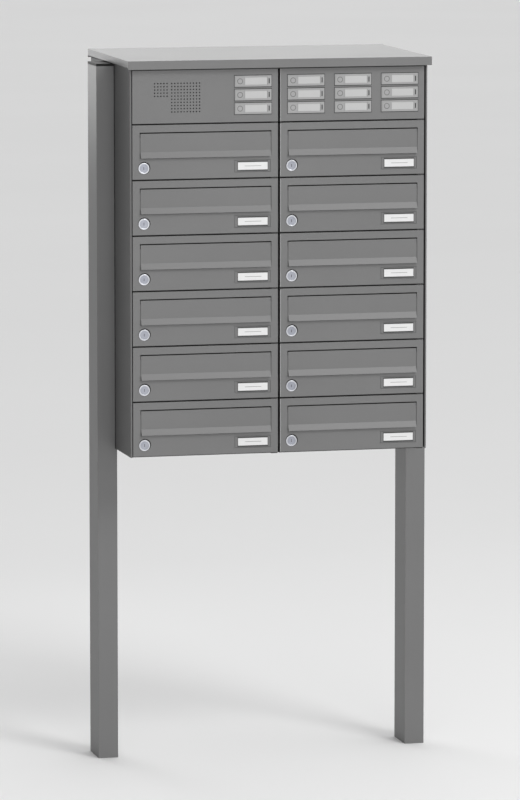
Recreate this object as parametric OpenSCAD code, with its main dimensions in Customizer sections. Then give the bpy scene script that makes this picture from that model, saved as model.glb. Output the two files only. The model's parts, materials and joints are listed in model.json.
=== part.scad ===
// Cluster mailbox unit: two columns of letterboxes under an intercom row, in a sheet-metal
// casing with a flat roof, carried by two rectangular posts.
// The doors face -Y, the ground is Z = 0, and X = 0 is the seam between the two columns.
// Pieces of a cell are drawn in the cell's own frame: x from its left seam, y back from the
// doors' face, z from its lower seam.

/* [Cells] */
// Width of a cell, seam to seam
cell_w = 300; // [290:5:330]
// Height of a cell, seam to seam
cell_h = 110; // [110:2:130]
// Rows of letterboxes below the intercom row
letter_rows = 6; // [1:1:6]
// Gap between two doors side by side
seam_w = 5; // [4.5:0.25:6]
// Part of that gap that lies to the right of the seam between the cells
seam_left = 1.75; // [1.5:0.25:2]
// Gap between two doors one above the other
seam_h = 3; // [3:0.5:4]

/* [Casing] */
// Depth of the casing, from the doors' face to the back
casing_d = 360; // [330:5:400]
// Thickness of walls, shelves and back panel
wall_t = 1.5; // [1:0.25:2]
// How far the side cladding stands out from the casing's walls
cladding_out = 3; // [2.5:0.5:6]
// Thickness of the side cladding's sheet
cladding_t = 1.5; // [1:0.25:1.75]
// How far the shelves' front edges stand behind the doors' face
shelf_y = 9; // [8:1:12]
// How far the walls' front edges stand behind the doors' face
wall_y = 16; // [16:1:18]

/* [Roof] */
// Height of the roof's front and back edge
fascia_h = 17; // [15:1:25]
// Height of the roof's side edges
roof_side_h = 13.5; // [10:0.5:13.5]
// How far the roof reaches past the doors' face
roof_front = 13; // [10:1:25]
// How far the roof reaches past the back panel
roof_back = 2; // [0:1:10]
// How far the roof reaches past each casing side
roof_side = 9; // [8:1:15]
// How much higher the roof lies at its back edge than at its front edge
roof_rise = 2; // [0:1:8]
// Thickness of the roof sheet
roof_t = 1.5; // [1:0.25:2]

/* [Posts] */
// Clear height below the casing
leg_h = 630; // [300:10:900]
// Width of a post, across the front
post_w = 40; // [30:5:60]
// Depth of a post
post_d = 80; // [60:5:100]
// Wall of a post
post_t = 2; // [1.5:0.5:3]
// Height of a post cap above its post
cap_h = 5; // [3:0.5:8]

/* [Doors] */
// Thickness of the door sheet
door_t = 1.5; // [1:0.25:1.75]
// Depth of the folded edges of a door
door_d = 15; // [12:1:15]
// Depth of the folded edges of the two top panels
panel_d = 28; // [24:1:32]
// Distance of the hinge pins from the door's right edge
hinge_in = 7; // [6:0.5:8]
// Distance of the hinge pins behind the doors' face
hinge_back = 3.4; // [3.4:0.1:3.8]
// Radius of the hinge pins
pin_r = 1.5; // [1:0.1:1.5]

/* [Mail flaps] */
// Margin between a cell's side seams and its mail opening
slot_side = 16.5; // [15:0.5:20]
// Lower edge of the mail opening in its cell
slot_low = 42.5; // [41:0.5:44]
// Upper edge of the mail opening in its cell
slot_high = 94; // [93:0.5:95]
// Gap between the flap's ends and the mail opening
flap_gap = 1.5; // [1:0.25:2]
// Gap above the flap
flap_gap_top = 2.2; // [2:0.1:3]
// Thickness of the flap
flap_t = 1.2; // [1:0.1:1.2]
// Height of the flap's flared lip
lip_h = 12; // [8:1:14]
// How far the lip stands out at its lower edge
lip_out = 6; // [3:0.5:8]

/* [Locks] */
// Distance of the lock from the cell's left seam
lock_x = 24.5; // [24:0.5:26]
// Distance of the lock from the cell's lower seam
lock_z = 23.5; // [23:0.5:24]
// Radius of the lock's rim
rim_r = 11; // [10:0.1:12]
// How deep the lock's plug sits in its rim
plug_sunk = 0.9; // [0.1:0.1:1]
// Reach of the cam from the lock's axis
cam_l = 18.5; // [17:0.5:19]

/* [Name plates] */
// Distance from the cell's right seam to the middle of the name plate
plate_in = 55; // [50:1:60]
// Height of the middle of the name plate in its cell
plate_z = 24.25; // [24:0.25:24.5]
// Width of the name plate
plate_w = 72; // [60:1:76]
// Height of the name plate
plate_h = 23; // [18:1:23]

/* [Bell modules] */
// Rows of bell modules
bell_rows = 3; // [1:1:3]
// Width of a bell module
bell_w = 75; // [70:1:80]
// Height of a bell module
bell_h = 22; // [20:0.5:24]
// Distance between bell modules, one above the other
bell_pitch_z = 27; // [26:0.5:28]
// Distance between bell modules, side by side
bell_pitch_x = 96; // [90:1:96]
// Side of a call button
button_s = 17.9; // [14:0.1:18]
// Travel of a call button
button_travel = 1.2; // [0.8:0.1:1.5]

/* [Intercom grilles] */
// Distance between grille holes
grille_pitch = 6.25; // [5:0.25:6.5]
// Radius of a grille hole
grille_r = 1.4; // [0.8:0.05:1.5]
// Height of the grilles' top row in the cell
grille_top = 80; // [78:1:85]

/* [Hidden] */
$fn = 32;
columns = 2;
boxes = columns * letter_rows;
bell_columns = 4;
bells = bell_rows * bell_columns;
eps = 0.1;
// Pieces that lie against each other stand this far apart, so that each stays its own solid
fit = 0.05;

casing_w = columns * cell_w;
casing_h = (letter_rows + 1) * cell_h;
casing_top = leg_h + casing_h;
roof_w = casing_w + 2 * roof_side;
roof_d = casing_d + roof_front + roof_back;
roof_top = casing_top + fascia_h - seam_h / 2;
front_y = roof_front - roof_d / 2;
half_wall = wall_t / 2;
post_top = casing_top + 1.7 - cap_h;
post_y = front_y + (casing_d - post_d) / 2;

door_w = cell_w - seam_w;
door_h = cell_h - seam_h;
door_right = seam_left + door_w;
door_top = cell_h - seam_h / 2;
hinge_x = door_right - hinge_in;
pin_l = 5.5;
bore_gap = 0.05;
rod_gap = 0.02;
bracket_half = 6.5;
shelf_end = casing_d - wall_t;

slot_w = cell_w - 2 * slot_side;
slot_h = slot_high - slot_low;
flap_x = slot_side + flap_gap;
flap_w = cell_w - 2 * flap_x;
flap_low = slot_low + 1;
flap_high = slot_high - flap_gap_top;
rod_r = 1.5;
bead_r = 2.4;
rod_y = 4.5;
rod_z = slot_high - 5.5;
bearing_t = 3.5;
bearing_x = flap_x - 1 - bearing_t;
rod_l = flap_w + 8;
stop_t = 1.2;
stop_low = slot_low - 3;
stop_high = rod_z - 4;
stop_lap = 4;
sill_high = slot_low + 9;

barrel_r = 9;
barrel_l = 17.5;
rim_t = 1.5;
plug_head_r = 8.5;
plug_r = 6.4;
plug_gap = 0.08;
nut_r = 12;
nut_t = 4;
cam_w = 9;
cam_t = 2;
cam_y = barrel_l + 0.6;
catch_reach = 12;
catch_low = 10;
catch_high = 37;

plate_t = 4;
plate_sunk = 0.2;
plate_gap = 0.5;
plate_rim = 3;

module_flange = 1;
module_d = 12;
module_rim = 1;
module_gap = 0.2;
button_x = 11;
button_t = 4.8;
button_proud = 0.2;
pocket_d = button_t - button_proud + 2 * button_travel;
label_x = 44.25;
label_w = 45.5;
label_h = 14.5;
label_sunk = 0.8;
notch_x = 70.2;
notch_w = 2;
notch_h = 10;
left_bell_x = 246;
right_bell_x = 54;

mic_x = 59.5;
mic_holes = 5;
speaker_holes = 10;
speaker_x = 109.6;
speaker_r = 30;
carrier_y = 25;

bolt_r = 4;
bolt_head_h = 5.3;
bolt_l = 16;
bolt_gap_y = 32;
sleeve_r = 5.5;
sleeve_l = 14;

PAINT = [0.43, 0.43, 0.43];
DARK = [0.12, 0.12, 0.12];
STEEL = [0.75, 0.77, 0.8];
MODULE = [0.62, 0.62, 0.62];
BUTTON = [0.68, 0.68, 0.68];

function two(n) = n < 10 ? str("0", n) : str(n);
function names(word, count) = [for (n = [1:count]) str(word, "_", two(n))];

STATIC = ["casing_walls", "shelves", "side_cladding", "roof", "posts", "post_caps",
    "post_bolts", "door_fittings", "intercom_panel", "bell_panel", "bell_modules",
    "speech_unit"];

// Letterboxes count from the top left, row by row.
function box_column(n) = (n - 1) % columns;
function box_row(n) = letter_rows - 1 - floor((n - 1) / columns);

// Bell modules count the same way. The first of each row is in the intercom panel.
function bell_cell(n) = (n - 1) % bell_columns == 0 ? 0 : 1;
function bell_x(n) = (n - 1) % bell_columns == 0
    ? left_bell_x
    : right_bell_x + ((n - 1) % bell_columns - 1) * bell_pitch_x;
function bell_z(n) = cell_h / 2 + (1 - floor((n - 1) / bell_columns)) * bell_pitch_z;

// ---- placing ----

module in_cell(column, row) {
    translate([(column - columns / 2) * cell_w, front_y, leg_h + row * cell_h])
        children();
}

module in_box(n) {
    in_cell(box_column(n), box_row(n)) children();
}

module both_sides() {
    for (side = [0, 1]) mirror([side, 0, 0]) children();
}

// A cylinder along +Y from its start
module bar_y(x, y, z, r, l) {
    translate([x, y, z]) rotate([-90, 0, 0]) cylinder(r = r, h = l);
}

// A cylinder along +X from its start
module bar_x(x, y, z, r, l) {
    translate([x, y, z]) rotate([0, 90, 0]) cylinder(r = r, h = l);
}

// ---- shared shapes ----

// A sheet folded back along its four edges, open behind
module folded_front(depth) {
    translate([seam_left, 0, seam_h / 2]) difference() {
        cube([door_w, depth, door_h]);
        translate([door_t, door_t, door_t])
            cube([door_w - 2 * door_t, depth, door_h - 2 * door_t]);
    }
}

module rectangular_tube(w, d, h, t) {
    difference() {
        cube([w, d, h]);
        translate([t, t, -eps]) cube([w - 2 * t, d - 2 * t, h + 2 * eps]);
    }
}

// ---- casing ----

module bolt_places() {
    for (row = [0, letter_rows]) for (side = [-1, 1])
        translate([casing_w / 2, front_y + casing_d / 2 + side * bolt_gap_y / 2,
            leg_h + (row + 0.5) * cell_h]) children();
}

module outer_wall() {
    difference() {
        translate([casing_w / 2 - wall_t, front_y + wall_y, leg_h - half_wall])
            cube([wall_t, shelf_end - wall_y - fit, casing_h + wall_t]);
        bolt_places() bar_x(-2 * wall_t, 0, 0, bolt_r + eps, 4 * wall_t);
    }
}

module casing_walls() {
    color(PAINT) {
        both_sides() outer_wall();
        translate([-half_wall, front_y + wall_y, leg_h - half_wall])
            cube([wall_t, shelf_end - wall_y - fit, casing_h + wall_t]);
        translate([-casing_w / 2, front_y + shelf_end, leg_h - half_wall])
            cube([casing_w, wall_t, casing_h + wall_t]);
    }
}

module shelves() {
    color(PAINT) both_sides() for (level = [0:letter_rows + 1])
        translate([half_wall, front_y + shelf_y, leg_h + level * cell_h - half_wall])
            cube([cell_w - wall_t - half_wall, shelf_end - shelf_y, wall_t]);
}

// A skin that stands off the wall on its two folded edges and a rib
module cladding_strip(depth) {
    rib_y = 20;
    translate([0, 0, leg_h - half_wall]) linear_extrude(height = casing_h + wall_t) {
        translate([cladding_out - cladding_t, 0]) square([cladding_t, depth]);
        for (y = [0, rib_y, depth - cladding_t])
            translate([0, y]) square([cladding_out, cladding_t]);
    }
}

module side_cladding() {
    side_gap = 0.5;
    strip_d = (casing_d - post_d) / 2 - side_gap;
    color(PAINT) both_sides() translate([casing_w / 2, front_y, 0]) {
        cladding_strip(strip_d);
        translate([0, casing_d, 0]) mirror([0, 1, 0]) cladding_strip(strip_d);
    }
}

// Height of the roof's upper face, y behind the roof's front edge
function roof_line(y) = roof_top + roof_rise * y / roof_d;

// A bar across the unit, w wide, from y0 to y1 and between two depths below the roof's top
module under_roof(w, y0, y1, upper, lower) {
    translate([-w / 2, -roof_d / 2, 0]) rotate([90, 0, 90]) linear_extrude(height = w)
        polygon([
            [y0, roof_line(y0) - lower],
            [y1, roof_line(y1) - lower],
            [y1, roof_line(y1) - upper],
            [y0, roof_line(y0) - upper]
        ]);
}

module roof_sheet() {
    difference() {
        under_roof(roof_w, 0, roof_d, 0, fascia_h);
        under_roof(roof_w - 2 * roof_t, roof_t, roof_d - roof_t, roof_t, fascia_h + eps);
        under_roof(roof_w + 2 * eps, roof_t, roof_d - roof_t, roof_side_h, fascia_h + eps);
    }
}

module roof() {
    batten_w = 20;
    batten_low = casing_top + half_wall;
    color(PAINT) {
        roof_sheet();
        for (y = [60, casing_d - 60 - batten_w]) intersection() {
            under_roof(casing_w - 2 * batten_w, roof_front + y, roof_front + y + batten_w,
                roof_t + fit, fascia_h + roof_rise);
            translate([-casing_w / 2, front_y, batten_low])
                cube([casing_w, casing_d, fascia_h + roof_rise]);
        }
    }
}

// ---- posts ----

module posts() {
    color(PAINT) both_sides() difference() {
        translate([casing_w / 2, post_y, 0]) rectangular_tube(post_w, post_d, post_top, post_t);
        bolt_places() bar_x(-eps, 0, 0, sleeve_r + bore_gap, post_t + 2 * eps);
    }
}

module post_caps() {
    plug_in = post_t + 0.2;
    plug_h = 12;
    color(DARK) both_sides() translate([casing_w / 2, post_y, post_top]) {
        cube([post_w, post_d, cap_h]);
        translate([plug_in, plug_in, -plug_h])
            cube([post_w - 2 * plug_in, post_d - 2 * plug_in, plug_h]);
    }
}

module post_bolt() {
    translate([-wall_t - bolt_head_h, 0, 0]) rotate([0, 90, 0])
        cylinder(r = 7, h = bolt_head_h, $fn = 6);
    bar_x(-wall_t, 0, 0, bolt_r, bolt_l + wall_t);
}

module rivet_nut() {
    difference() {
        bar_x(0, 0, 0, sleeve_r, sleeve_l);
        bar_x(-eps, 0, 0, bolt_r + bore_gap, sleeve_l + 2 * eps);
    }
}

module post_bolts() {
    color(STEEL) both_sides() bolt_places() {
        post_bolt();
        rivet_nut();
    }
}

// ---- hinge brackets and lock catches ----

module hinge_bracket(level) {
    low = level > 0 ? -pin_l : 0;
    high = level < letter_rows ? pin_l : 0;
    translate([hinge_x - bracket_half, hinge_back - pin_r - 0.4, -half_wall])
        cube([2 * bracket_half, shelf_y - hinge_back + pin_r + 0.4, wall_t]);
    translate([hinge_x, hinge_back, low]) cylinder(r = pin_r, h = high - low);
}

module lock_catch(column) {
    start = column == 0 ? wall_t : half_wall;
    translate([start, wall_y, catch_low])
        cube([catch_reach - start, wall_t, catch_high - catch_low]);
}

module door_fittings() {
    color(STEEL) {
        for (column = [0:columns - 1]) for (level = [0:letter_rows])
            in_cell(column, level) hinge_bracket(level);
        for (n = [1:boxes]) in_box(n) lock_catch(box_column(n));
    }
}

// ---- doors ----

module door_sheet() {
    plate_x = cell_w - plate_in - plate_w / 2 - plate_gap;
    difference() {
        folded_front(door_d);
        translate([slot_side, -eps, slot_low]) cube([slot_w, door_t + 2 * eps, slot_h]);
        translate([plate_x, -eps, plate_z - plate_h / 2 - plate_gap])
            cube([plate_w + 2 * plate_gap, door_t + 2 * eps, plate_h + 2 * plate_gap]);
        bar_y(lock_x, -eps, lock_z, barrel_r + 0.1, door_t + 2 * eps);
        translate([hinge_x, hinge_back, 0]) cylinder(r = pin_r + bore_gap, h = cell_h);
    }
}

module flap_bearing() {
    difference() {
        union() {
            translate([bearing_x, door_t + fit, rod_z - 2 * rod_r])
                cube([bearing_t, rod_y - door_t - fit, 4 * rod_r]);
            bar_x(bearing_x, rod_y, rod_z, 2 * rod_r, bearing_t);
        }
        bar_x(bearing_x - eps, rod_y, rod_z, rod_r + bore_gap, bearing_t + 2 * eps);
    }
}

module flap_stops() {
    side_w = flap_gap + stop_lap + 3.5;
    for (x = [flap_x + stop_lap - side_w, cell_w - flap_x - stop_lap])
        translate([x, door_t + fit, stop_low]) cube([side_w, stop_t, stop_high - stop_low]);
    translate([flap_x + stop_lap + fit, door_t + fit, stop_low])
        cube([flap_w - 2 * stop_lap - 2 * fit, stop_t, sill_high - stop_low]);
}

// A block in the door's cut-out, with a rim behind the sheet at its two ends
module name_plate() {
    back_y = door_t + fit;
    translate([cell_w - plate_in - plate_w / 2, 0, plate_z - plate_h / 2]) {
        translate([0, plate_sunk, 0]) cube([plate_w, plate_t - plate_sunk, plate_h]);
        translate([-plate_rim, back_y, 0])
            cube([plate_w + 2 * plate_rim, plate_t - back_y, plate_h]);
    }
}

module lock_barrel() {
    difference() {
        union() {
            bar_y(lock_x, -rim_t, lock_z, rim_r, rim_t - fit);
            bar_y(lock_x, -fit, lock_z, barrel_r, barrel_l + fit);
        }
        bar_y(lock_x, -rim_t - eps, lock_z, plug_head_r + plug_gap, rim_t + eps);
        bar_y(lock_x, -eps, lock_z, plug_r + plug_gap, barrel_l + 2 * eps);
    }
}

module lock_nut() {
    difference() {
        translate([lock_x, door_t + fit, lock_z]) rotate([-90, 0, 0])
            cylinder(r = nut_r, h = nut_t, $fn = 6);
        bar_y(lock_x, door_t, lock_z, barrel_r + bore_gap, nut_t + 2 * eps);
    }
}

module door(n) {
    color(PAINT) in_box(n) {
        door_sheet();
        flap_bearing();
        translate([cell_w, 0, 0]) mirror([1, 0, 0]) flap_bearing();
        flap_stops();
        name_plate();
        lock_barrel();
        lock_nut();
    }
}

// ---- mail flaps ----

// The flap's section in y and z: a flat sheet, a web to the rod's bead and a flared lip
function flap_section() = [
    [0, flap_high],
    [flap_t, flap_high],
    [flap_t, rod_z + 1.5],
    [rod_y, rod_z + 1.5],
    [rod_y, rod_z - 1.5],
    [flap_t, rod_z - 1.5],
    [flap_t, flap_low + lip_h],
    [flap_t - lip_out, flap_low],
    [-lip_out, flap_low],
    [0, flap_low + lip_h]
];

module flap_sheet() {
    difference() {
        union() {
            translate([flap_x, 0, 0]) rotate([90, 0, 90])
                linear_extrude(height = flap_w) polygon(flap_section());
            bar_x(flap_x, rod_y, rod_z, bead_r, flap_w);
        }
        bar_x(flap_x - eps, rod_y, rod_z, rod_r + rod_gap, flap_w + 2 * eps);
    }
}

module flap(n) {
    color(PAINT) in_box(n) {
        flap_sheet();
        bar_x((cell_w - rod_l) / 2, rod_y, rod_z, rod_r, rod_l);
    }
}

// ---- locks ----

// The cam points down when the door is free, and left, behind its catch, when it is locked
module lock(n) {
    tail = 5;
    color(STEEL) in_box(n) {
        bar_y(lock_x, plug_sunk - rim_t, lock_z, plug_head_r, rim_t - plug_gap - plug_sunk);
        bar_y(lock_x, -plug_gap, lock_z, plug_r, cam_y + plug_gap - fit);
        translate([lock_x - cam_w / 2, cam_y, lock_z - cam_l])
            cube([cam_w, cam_t, cam_l + tail]);
        bar_y(lock_x, cam_y + cam_t + fit, lock_z, 3.5, 1.5);
    }
}

// ---- intercom row ----

// A square grid of holes through a panel, counted right and down from its first hole
module grille(x, count) {
    for (i = [0:count - 1]) for (j = [0:count - 1])
        bar_y(x + i * grille_pitch, -eps, grille_top - j * grille_pitch, grille_r,
            door_t + 2 * eps);
}

module module_cutout(x, z) {
    w = bell_w - 2 * module_rim + 2 * module_gap;
    h = bell_h - 2 * module_rim + 2 * module_gap;
    translate([x - w / 2, -eps, z - h / 2]) cube([w, door_t + 2 * eps, h]);
}

// Clips on the folded edges wedge the panel between its two shelves
module panel_clips() {
    clip_w = 16;
    clip_y = 18;
    clip_h = seam_h / 2 - half_wall;
    for (x = [60, cell_w - 60 - clip_w]) for (z = [half_wall, door_top])
        translate([x, clip_y, z]) cube([clip_w, panel_d - clip_y, clip_h]);
}

module top_panel(cell) {
    difference() {
        folded_front(panel_d);
        for (n = [1:bells]) if (bell_cell(n) == cell) module_cutout(bell_x(n), bell_z(n));
        if (cell == 0) {
            grille(mic_x - 2 * grille_pitch, mic_holes);
            grille(speaker_x - 4.5 * grille_pitch, speaker_holes);
        }
    }
    panel_clips();
}

module intercom_panel() {
    color(PAINT) in_cell(0, letter_rows) top_panel(0);
}

module bell_panel() {
    color(PAINT) in_cell(1, letter_rows) top_panel(1);
}

// One housing, drawn from its left edge and the middle of its height
module bell_module() {
    body_w = bell_w - 2 * module_rim;
    body_h = bell_h - 2 * module_rim;
    pocket = button_s + 2 * module_gap;
    difference() {
        union() {
            translate([0, -module_flange, -bell_h / 2]) cube([bell_w, module_flange, bell_h]);
            translate([module_rim, 0, -body_h / 2]) cube([body_w, module_d, body_h]);
        }
        translate([button_x - pocket / 2, -module_flange - eps, -pocket / 2])
            cube([pocket, pocket_d + eps, pocket]);
        translate([label_x - label_w / 2, -module_flange - eps, -label_h / 2])
            cube([label_w, label_sunk + eps, label_h]);
        translate([notch_x - notch_w / 2, -module_flange - eps, -notch_h / 2])
            cube([notch_w, label_sunk + eps, notch_h]);
    }
}

module at_bell(n) {
    in_cell(bell_cell(n), letter_rows) translate([bell_x(n) - bell_w / 2, 0, bell_z(n)])
        children();
}

module bell_modules() {
    color(MODULE) for (n = [1:bells]) at_bell(n) bell_module();
}

module call_button(n) {
    color(BUTTON) at_bell(n)
        translate([button_x - button_s / 2, -module_flange - button_proud, -button_s / 2])
            cube([button_s, button_t, button_s]);
}

module loudspeaker() {
    rim_l = 2.5;
    cone_l = 10;
    middle = grille_top - 4.5 * grille_pitch;
    bar_y(speaker_x, door_t, middle, speaker_r, rim_l);
    translate([speaker_x, door_t + rim_l, middle]) rotate([-90, 0, 0])
        cylinder(r1 = speaker_r, r2 = speaker_r / 2, h = cone_l);
    bar_y(speaker_x, door_t + rim_l + cone_l, middle, speaker_r / 2 + 3,
        carrier_y - door_t - rim_l - cone_l - fit);
}

module speech_unit() {
    plate_l = 130;
    plate_side = 84;
    board_x = 40;
    board_z = 14;
    inset = 6;
    color(DARK) in_cell(0, letter_rows) {
        loudspeaker();
        bar_y(mic_x, door_t, grille_top - 2 * grille_pitch, 7, 8);
        translate([board_x, carrier_y, board_z]) cube([plate_l, 2, plate_side]);
        for (x = [inset, plate_l - inset]) for (z = [inset, plate_side - inset])
            bar_y(board_x + x, door_t, board_z + z, 3, carrier_y - door_t - fit);
        translate([board_x + 10, carrier_y + 2 + fit, board_z + 8]) cube([60, 14, 16]);
    }
}

casing_walls();
shelves();
side_cladding();
roof();
posts();
post_caps();
post_bolts();
door_fittings();
intercom_panel();
bell_panel();
bell_modules();
speech_unit();
for (n = [1:boxes]) {
    door(n);
    flap(n);
    lock(n);
}
for (n = [1:bells]) {
    call_button(n);
}
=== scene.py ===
import json
import math

import bmesh
import bpy
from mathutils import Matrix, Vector


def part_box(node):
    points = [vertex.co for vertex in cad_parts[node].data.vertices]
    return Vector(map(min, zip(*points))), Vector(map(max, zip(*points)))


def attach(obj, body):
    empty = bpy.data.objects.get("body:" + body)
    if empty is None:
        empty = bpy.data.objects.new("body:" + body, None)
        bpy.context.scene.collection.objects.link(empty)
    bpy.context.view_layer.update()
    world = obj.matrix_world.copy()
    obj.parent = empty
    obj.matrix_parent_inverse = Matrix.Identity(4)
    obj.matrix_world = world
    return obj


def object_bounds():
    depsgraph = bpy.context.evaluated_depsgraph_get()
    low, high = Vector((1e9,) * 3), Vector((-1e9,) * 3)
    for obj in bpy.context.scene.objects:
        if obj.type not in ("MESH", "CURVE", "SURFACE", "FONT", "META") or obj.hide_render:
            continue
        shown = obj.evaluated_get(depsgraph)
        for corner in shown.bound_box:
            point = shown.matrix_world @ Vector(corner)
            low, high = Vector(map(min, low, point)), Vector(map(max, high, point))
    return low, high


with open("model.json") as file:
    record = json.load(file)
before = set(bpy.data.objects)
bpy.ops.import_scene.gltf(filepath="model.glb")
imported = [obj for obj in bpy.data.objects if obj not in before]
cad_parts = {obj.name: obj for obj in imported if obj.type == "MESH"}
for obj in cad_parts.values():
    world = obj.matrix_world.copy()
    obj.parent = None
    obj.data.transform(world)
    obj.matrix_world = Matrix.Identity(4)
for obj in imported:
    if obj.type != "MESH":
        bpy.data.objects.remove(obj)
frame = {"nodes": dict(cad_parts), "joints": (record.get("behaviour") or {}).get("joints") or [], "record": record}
cad_low, cad_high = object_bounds()
joints = {j["name"]: j for j in frame["joints"]}
# the two-digit numbers of the letterboxes and of the bells
boxes = sorted(n[-2:] for n in frame["nodes"] if n.startswith("lock_"))
bells = sorted(n[-2:] for n in frame["nodes"] if n.startswith("call_button_"))
MM = 0.001

# Places in a cell, in millimetres: x from its left seam, z from its lower seam
CELL_H = 110
LEVELS = 7
DOOR_X = 1.75
DOOR_Z = 1.5
PLATE_X = (214.4, 276.6)
PLATE_Z = (14.2, 34.3)
CARD_X = (215.2, 275.8)
CARD_Z = (16.7, 31.8)
RULE_X = (229.0, 263.0)
RULE_Z = (23.7, 24.9)
# Where a shelf's black strip of painted shade starts and ends, from the seam between the columns
SEAM_SHADE_X = (1.0, 298.2)

# Places on a bell module, in millimetres from the middle of its button
MODULE_X = (-11, 64)
SHADOW_RIM_OUT = 0.8
SHADOW_RIM_HALF = 12.1
LABEL_MIDDLE = 32.25
LABEL_HALF = (22.6, 7.1)
NOTCH_X = (58.25, 60.15)
NOTCH_HALF = 4.95

# How far the lock's rim and nut reach from its axis, in millimetres
RIM_REACH = 12.5
NUT_REACH = 12.1


# ---- materials ----

def material(name, low, high, rough, metallic=0.0, size=4.0, grain=600.0, bump=0.02,
             coat=0.0, ior=1.5):
    """Colour wanders between low and high, roughness a little, and a fine grain lifts the surface."""
    mat = bpy.data.materials.new(name)
    mat.use_nodes = True
    nodes, links = mat.node_tree.nodes, mat.node_tree.links
    shader = nodes["Principled BSDF"]
    shader.inputs["Metallic"].default_value = metallic
    shader.inputs["IOR"].default_value = ior
    if coat:
        shader.inputs["Coat Weight"].default_value = coat
        shader.inputs["Coat Roughness"].default_value = 0.06
    where = nodes.new("ShaderNodeTexCoord")
    broad = nodes.new("ShaderNodeTexNoise")
    broad.inputs["Scale"].default_value = size
    broad.inputs["Detail"].default_value = 4.0
    links.new(where.outputs["Object"], broad.inputs["Vector"])
    ramp = nodes.new("ShaderNodeValToRGB")
    ramp.color_ramp.elements[0].position = 0.3
    ramp.color_ramp.elements[0].color = (*low, 1)
    ramp.color_ramp.elements[1].position = 0.7
    ramp.color_ramp.elements[1].color = (*high, 1)
    links.new(broad.outputs["Fac"], ramp.inputs["Fac"])
    links.new(ramp.outputs["Color"], shader.inputs["Base Color"])
    spread = nodes.new("ShaderNodeMapRange")
    spread.inputs["To Min"].default_value = rough - 0.03
    spread.inputs["To Max"].default_value = rough + 0.03
    links.new(broad.outputs["Fac"], spread.inputs["Value"])
    links.new(spread.outputs["Result"], shader.inputs["Roughness"])
    fine = nodes.new("ShaderNodeTexNoise")
    fine.inputs["Scale"].default_value = grain
    fine.inputs["Detail"].default_value = 2.0
    links.new(where.outputs["Object"], fine.inputs["Vector"])
    lift = nodes.new("ShaderNodeBump")
    lift.inputs["Strength"].default_value = bump
    lift.inputs["Distance"].default_value = 0.0004
    links.new(fine.outputs["Fac"], lift.inputs["Height"])
    links.new(lift.outputs["Normal"], shader.inputs["Normal"])
    return mat


def grey(v):
    return (v, v, v)


PAINT = material("paint", grey(0.144), grey(0.156), 0.40, bump=0.06, ior=1.42)
# the side cladding's paint: a darker, duller copy of the paint, as painted shade
SHADED_SIDE_PAINT = material("side_paint_with_painted_shade", grey(0.136), grey(0.148), 0.52, bump=0.06, ior=1.25)
CAP = material("cap_plastic", grey(0.004), grey(0.007), 0.55, bump=0.05, ior=1.3)
# black: the speech unit's own colour, and painted shade in the keyways, seams, corners and round the locks and
# bell modules
BLACK = material("black_plastic_and_painted_shade", grey(0.006), grey(0.010), 0.7, bump=0.1)
ZINC = material("zinc_steel", grey(0.50), grey(0.58), 0.38, metallic=1.0, size=30, bump=0.04)
LOCK = material("lock_metal", (0.52, 0.53, 0.56), (0.60, 0.61, 0.64), 0.30, metallic=1.0, size=60,
                bump=0.03)
PLUG = material("plug_metal", (0.27, 0.28, 0.32), (0.33, 0.34, 0.38), 0.36, metallic=1.0, size=60,
                bump=0.03)
# the door fittings made dark as painted shade where they show in the seams
SEAM_SHADE_STEEL = material("fittings_painted_shade", grey(0.025), grey(0.040), 0.5, size=30, bump=0.05)
MODULE = material("module_plastic", grey(0.27), grey(0.31), 0.45, bump=0.05)
# pale paint for a painted highlight along door edges
HIGHLIGHT_PAINT = material("painted_edge_highlight", grey(0.50), grey(0.56), 0.4, bump=0.05)
BUTTON = material("button_plastic", grey(0.27), grey(0.31), 0.4, bump=0.04)
CARD = material("label_card", grey(0.65), grey(0.69), 0.5, bump=0.02, coat=0.5)
INK = material("card_ink", grey(0.30), grey(0.34), 0.5, bump=0.02)
BELL_CARD = material("bell_card", grey(0.41), grey(0.45), 0.45, bump=0.02, coat=0.3)
ICON = material("icon_ink", grey(0.10), grey(0.13), 0.5, bump=0.02)
# dark frame of the name plates; its thick top and bottom rims are painted shadow above and below the card
PLATE = material("plate_plastic_and_painted_shade", grey(0.03), grey(0.04), 0.4, bump=0.04)

SLOTS = {"paint": PAINT, "cap_plastic": CAP, "zinc_steel": ZINC, "lock_metal": LOCK,
         "module_plastic": MODULE, "button_plastic": BUTTON}
# nodes whose look differs from the rest of their slot; the door fittings are dark and the side cladding's paint is
# darker and duller, both as painted shade
OWN = {"lock_": PLUG, "speech_unit": BLACK, "door_fittings": SEAM_SHADE_STEEL, "side_cladding": SHADED_SIDE_PAINT}
# left sharp, because a bevel spoils the grille's small holes
PLAIN_EDGES = ["intercom_panel"]


# ---- piece builders ----

def soften(obj, width):
    soft = obj.modifiers.new("edges", "BEVEL")
    soft.width = width
    soft.segments = 2
    soft.limit_method = "ANGLE"
    soft.angle_limit = math.radians(40)


def piece(name, mesh, mat, body, bevel=0.0):
    obj = bpy.data.objects.new(name, mesh)
    bpy.context.scene.collection.objects.link(obj)
    mesh.materials.append(mat)
    if bevel:
        soften(obj, bevel)
    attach(obj, body)
    return obj


def from_bmesh(name, bm):
    bmesh.ops.recalc_face_normals(bm, faces=bm.faces)
    mesh = bpy.data.meshes.new(name)
    bm.to_mesh(mesh)
    bm.free()
    return mesh


def block(name, low, high, mat, body, bevel=0.0):
    bm = bmesh.new()
    bmesh.ops.create_cube(bm, size=1.0)
    low, high = Vector(low), Vector(high)
    size, mid = high - low, (high + low) / 2
    for v in bm.verts:
        v.co = Vector((v.co.x * size.x, v.co.y * size.y, v.co.z * size.z)) + mid
    return piece(name, from_bmesh(name, bm), mat, body, bevel)


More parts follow.
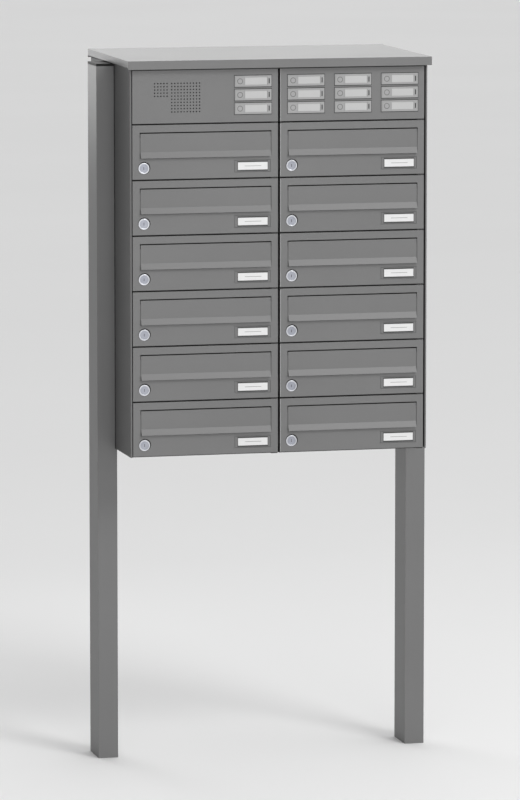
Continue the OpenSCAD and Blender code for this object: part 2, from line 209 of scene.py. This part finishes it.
def window_frame(name, low, high, rim_x, rim_z, mat, body, bevel=0.0):
    """A rectangular frame in the X-Z plane, rim_x wide at its ends and rim_z above and below."""
    bm = bmesh.new()
    x0, y0, z0 = low
    x1, y1, z1 = high
    outer = [(x0, z0), (x1, z0), (x1, z1), (x0, z1)]
    inner = [(x0 + rim_x, z0 + rim_z), (x1 - rim_x, z0 + rim_z), (x1 - rim_x, z1 - rim_z),
             (x0 + rim_x, z1 - rim_z)]
    loops = [[bm.verts.new((x, y, z)) for x, z in ring] for y in (y0, y1) for ring in (outer, inner)]
    for i in range(4):
        j = (i + 1) % 4
        bm.faces.new((loops[0][i], loops[0][j], loops[1][j], loops[1][i]))
        bm.faces.new((loops[2][i], loops[3][i], loops[3][j], loops[2][j]))
        bm.faces.new((loops[0][i], loops[2][i], loops[2][j], loops[0][j]))
        bm.faces.new((loops[1][i], loops[1][j], loops[3][j], loops[3][i]))
    return piece(name, from_bmesh(name, bm), mat, body, bevel)


def lathe(name, centre, profile, mat, body, steps=48):
    """Turns a profile of (radius, distance along Y) round the line along Y through centre."""
    bm = bmesh.new()
    rings = []
    for r, d in profile:
        if r == 0:
            rings.append([bm.verts.new(around_y(centre, 0, 0, d))])
        else:
            rings.append([bm.verts.new(around_y(centre, r, 2 * math.pi * k / steps, d))
                          for k in range(steps)])
    for a, b in zip(rings, rings[1:]):
        for k in range(steps):
            m = (k + 1) % steps
            corners = [a[k % len(a)], a[m % len(a)], b[m % len(b)], b[k % len(b)]]
            unique = [v for i, v in enumerate(corners) if v not in corners[:i]]
            if len(unique) > 2:
                bm.faces.new(unique)
    obj = piece(name, from_bmesh(name, bm), mat, body)
    for p in obj.data.polygons:
        p.use_smooth = True
    return obj


def around_y(centre, r, turn, d):
    return Vector(centre) + Vector((r * math.cos(turn), d, r * math.sin(turn)))


# ---- the CAD nodes ----

slot_of = {s["node"]: s["material_slot"] for s in frame["record"]["subparts"]}
for name, obj in frame["nodes"].items():
    obj.data.materials.clear()
    obj.data.materials.append(OWN.get(name.rstrip("0123456789"), SLOTS[slot_of[name]]))
    if name in PLAIN_EDGES:
        continue
    weld = obj.modifiers.new("join", "WELD")
    weld.merge_threshold = 0.00001
    soften(obj, 0.0003)

front_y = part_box("side_cladding")[0].y


def cell_of(door):
    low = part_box(door)[0]
    return Vector((low.x - DOOR_X * MM, front_y, low.z - DOOR_Z * MM))


def in_cell(cell, x, y, z):
    return cell + Vector((x, y, z)) * MM


# the lock's rim, barrel and nut belong to the door's node but are metal
for n in boxes:
    door = frame["nodes"]["door_" + n]
    axis = Vector(joints[f"box_{n}_lock"]["pos_m"])
    door.data.materials.append(LOCK)
    door.data.materials.append(ZINC)
    for face in door.data.polygons:
        mid = face.center
        away = math.hypot(mid.x - axis.x, mid.z - axis.z)
        if away < RIM_REACH * MM and mid.y < front_y - 0.02 * MM:
            face.material_index = 1
        elif away < NUT_REACH * MM and mid.y > front_y + 1.53 * MM:
            face.material_index = 2

# ---- locks and name plates ----

for n in boxes:
    axis = Vector(joints[f"box_{n}_lock"]["pos_m"])
    face_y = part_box("lock_" + n)[0].y
    # a black slot in the plug's face: painted shade of the keyway
    block("keyway_shade_" + n, (axis.x - 0.5 * MM, face_y - 0.05 * MM, axis.z - 2.8 * MM),
          (axis.x + 0.5 * MM, face_y + 0.3 * MM, axis.z + 2.8 * MM), BLACK, "lock_" + n,
          bevel=0.05 * MM)
    # a black disc set off up and to the right behind the lock's rim: a painted crescent of shadow
    lathe("lock_crescent_shadow_" + n, (axis.x + 1.0 * MM, front_y, axis.z + 0.9 * MM),
          [(0, -0.3 * MM), (11.9 * MM, -0.3 * MM), (12.3 * MM, -0.02 * MM)], BLACK, "door_" + n)
    cell = cell_of("door_" + n)
    # the frame's black rims are partly the holder and partly painted shadow, widest above and below the card
    window_frame("plate_frame_and_shadow_" + n, in_cell(cell, PLATE_X[0], -0.35, PLATE_Z[0]),
                 in_cell(cell, PLATE_X[1], 0.6, PLATE_Z[1]), 0.8 * MM, 2.6 * MM, PLATE,
                 "door_" + n, bevel=0.15 * MM)
    block("plate_card_" + n, in_cell(cell, CARD_X[0], -0.1, CARD_Z[0]),
          in_cell(cell, CARD_X[1], 0.5, CARD_Z[1]), CARD, "door_" + n)
    block("plate_rule_" + n, in_cell(cell, RULE_X[0], -0.14, RULE_Z[0]),
          in_cell(cell, RULE_X[1], 0.0, RULE_Z[1]), INK, "door_" + n)

# a pale strip of painted highlight runs down the left edge of the right column's fronts
highlit_fronts = [("door_" + n, "door_" + n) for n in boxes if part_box("door_" + n)[0].x > 0]
for node, body in highlit_fronts + [("bell_panel", "casing")]:
    low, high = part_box(node)
    block("painted_edge_highlight_" + node, (low.x + 0.02 * MM, front_y - 0.06 * MM, low.z + 0.5 * MM),
          (low.x + 0.6 * MM, front_y + 0.3 * MM, high.z - 0.5 * MM), HIGHLIGHT_PAINT, body)

# ---- intercom row ----

for n in bells:
    low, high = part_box("call_button_" + n)
    mid = (low + high) / 2
    label_x = mid.x + LABEL_MIDDLE * MM
    block("bell_label_" + n,
          (label_x - LABEL_HALF[0] * MM, low.y + 0.45 * MM, mid.z - LABEL_HALF[1] * MM),
          (label_x + LABEL_HALF[0] * MM, low.y + 1.1 * MM, mid.z + LABEL_HALF[1] * MM),
          BELL_CARD, "casing", bevel=0.1 * MM)
    left, right = mid.x + MODULE_X[0] * MM, mid.x + MODULE_X[1] * MM
    # a black rim round each module's foot: painted shadow round the module
    window_frame("bell_shadow_rim_" + n,
                 (left - SHADOW_RIM_OUT * MM, front_y - 0.6 * MM, mid.z - SHADOW_RIM_HALF * MM),
                 (right + SHADOW_RIM_OUT * MM, front_y - 0.03 * MM, mid.z + SHADOW_RIM_HALF * MM),
                 0.85 * MM, 1.15 * MM, BLACK, "casing")
    # a black block in each module's notch: painted shade
    block("bell_notch_shade_" + n,
          (mid.x + NOTCH_X[0] * MM, front_y - 0.4 * MM, mid.z - NOTCH_HALF * MM),
          (mid.x + NOTCH_X[1] * MM, front_y - 0.1 * MM, mid.z + NOTCH_HALF * MM), BLACK, "casing")
    lathe("bell_icon_" + n, (mid.x, low.y, mid.z),
          [(5.7 * MM, 0.1 * MM), (5.7 * MM, -0.08 * MM), (4.5 * MM, -0.08 * MM), (4.5 * MM, 0.1 * MM)],
          ICON, "call_button_" + n, steps=32)

# ---- black strips of painted shade in the seams ----

for level in range(LEVELS):
    for side in (-1, 1):
        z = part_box("shelves")[0].z + 0.75 * MM + level * CELL_H * MM
        x0, x1 = sorted(side * x * MM for x in SEAM_SHADE_X)
        block(f"shelf_seam_shade_{level}_{'lr'[side > 0]}", (x0, front_y + 7.6 * MM, z - 0.74 * MM),
              (x1, front_y + 8.98 * MM, z + 0.74 * MM), BLACK, "casing")

casing_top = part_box("side_cladding")[1].z - 0.75 * MM
# a black strip under the roof's front edge: painted shade
block("roof_seam_shade", (-298 * MM, front_y - 1.2 * MM, casing_top - 4.2 * MM),
      (298 * MM, front_y - 0.05 * MM, casing_top - 1.6 * MM), BLACK, "casing")

# black strips of painted shade darken the corners between the posts and the side cladding
post_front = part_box("posts")[0].y
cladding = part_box("side_cladding")
for side in (-1, 1):
    x0, x1 = sorted((side * (cladding[1].x + 0.05 * MM), side * (cladding[1].x + 1.5 * MM)))
    block(f"corner_shade_{'lr'[side > 0]}", (x0, post_front - 0.4 * MM, cladding[0].z),
          (x1, post_front - 0.02 * MM, cladding[1].z), BLACK, "casing")

# ---- floor, light, camera ----

floor_mesh = bpy.data.meshes.new("floor")
reach = 400.0
corners = [(-reach, -reach, 0), (reach, -reach, 0), (reach, reach, 0), (-reach, reach, 0)]
floor_mesh.from_pydata(corners, [], [(0, 1, 2, 3)])
floor = bpy.data.objects.new("floor", floor_mesh)
bpy.context.scene.collection.objects.link(floor)
floor_mesh.materials.append(material("floor", grey(0.83), grey(0.85), 0.9, size=0.5, grain=40,
                                     bump=0.01))

world = bpy.data.worlds.new("studio")
bpy.context.scene.world = world
world.use_nodes = True
world.node_tree.nodes["Background"].inputs["Color"].default_value = (1, 1, 1, 1)


def studio_walls(tree, faces):
    """Graded studio walls. Each entry of faces is an axis, two directions along it and their light."""
    where = tree.nodes.new("ShaderNodeTexCoord")
    split = tree.nodes.new("ShaderNodeSeparateXYZ")
    tree.links.new(where.outputs["Generated"], split.inputs["Vector"])
    total = None
    for axis, start, end, dim, bright in faces:
        grade = tree.nodes.new("ShaderNodeMapRange")
        grade.interpolation_type = "SMOOTHSTEP"
        grade.inputs["From Min"].default_value = start
        grade.inputs["From Max"].default_value = end
        grade.inputs["To Min"].default_value = dim
        grade.inputs["To Max"].default_value = bright
        tree.links.new(split.outputs[axis], grade.inputs["Value"])
        if total is None:
            total = grade.outputs["Result"]
            continue
        both = tree.nodes.new("ShaderNodeMath")
        both.operation = "MULTIPLY"
        tree.links.new(total, both.inputs[0])
        tree.links.new(grade.outputs["Result"], both.inputs[1])
        total = both.outputs["Value"]
    # low over the horizon the walls are as pale as the floor
    haze = tree.nodes.new("ShaderNodeMapRange")
    haze.interpolation_type = "SMOOTHSTEP"
    haze.inputs["From Min"].default_value = 0.025
    haze.inputs["From Max"].default_value = 0.07
    haze.inputs["To Min"].default_value = 1.0
    haze.inputs["To Max"].default_value = 0.0
    tree.links.new(split.outputs["Z"], haze.inputs["Value"])
    blend = tree.nodes.new("ShaderNodeMix")
    blend.data_type = "FLOAT"
    blend.inputs["B"].default_value = 0.62
    tree.links.new(haze.outputs["Result"], blend.inputs["Factor"])
    tree.links.new(total, blend.inputs["A"])
    tree.links.new(blend.outputs["Result"], tree.nodes["Background"].inputs["Strength"])


studio_walls(world.node_tree, [("X", -0.58, -0.21, 0.05, 1.0), ("Y", 0.6, 0.95, 0.9, 2.05)])


def area_light(name, place, aim, size, power):
    data = bpy.data.lights.new(name, "AREA")
    data.shape = "DISK"
    data.size = size
    data.energy = power
    obj = bpy.data.objects.new(name, data)
    obj.location = place
    obj.rotation_mode = "QUATERNION"
    obj.rotation_quaternion = (Vector(aim) - Vector(place)).to_track_quat("-Z", "Y")
    obj.visible_camera = False
    bpy.context.scene.collection.objects.link(obj)


middle = (cad_low + cad_high) / 2
area_light("key", (1.9, -4.0, 4.5), middle, 2.0, 108.0)
area_light("front", (-0.6, -13.0, 2.6), middle, 4.0, 345.0)
area_light("edge", (-0.80, 2.2, 1.43), (-0.34, 0.0, 1.39), 0.7, 3.5)

camera_data = bpy.data.cameras.new("camera")
camera_data.sensor_width = 36.0
camera_data.lens = 244.55
camera = bpy.data.objects.new("camera", camera_data)
yaw, pitch = 0.24374, 0.1279
camera.location = (-2.6266, -10.5765, 2.1155)
forward = Vector((math.sin(yaw) * math.cos(pitch), math.cos(yaw) * math.cos(pitch), -math.sin(pitch)))
camera.rotation_mode = "QUATERNION"
camera.rotation_quaternion = forward.to_track_quat("-Z", "Y")
bpy.context.scene.collection.objects.link(camera)
bpy.context.scene.camera = camera
bpy.context.scene.view_settings.view_transform = "Standard"
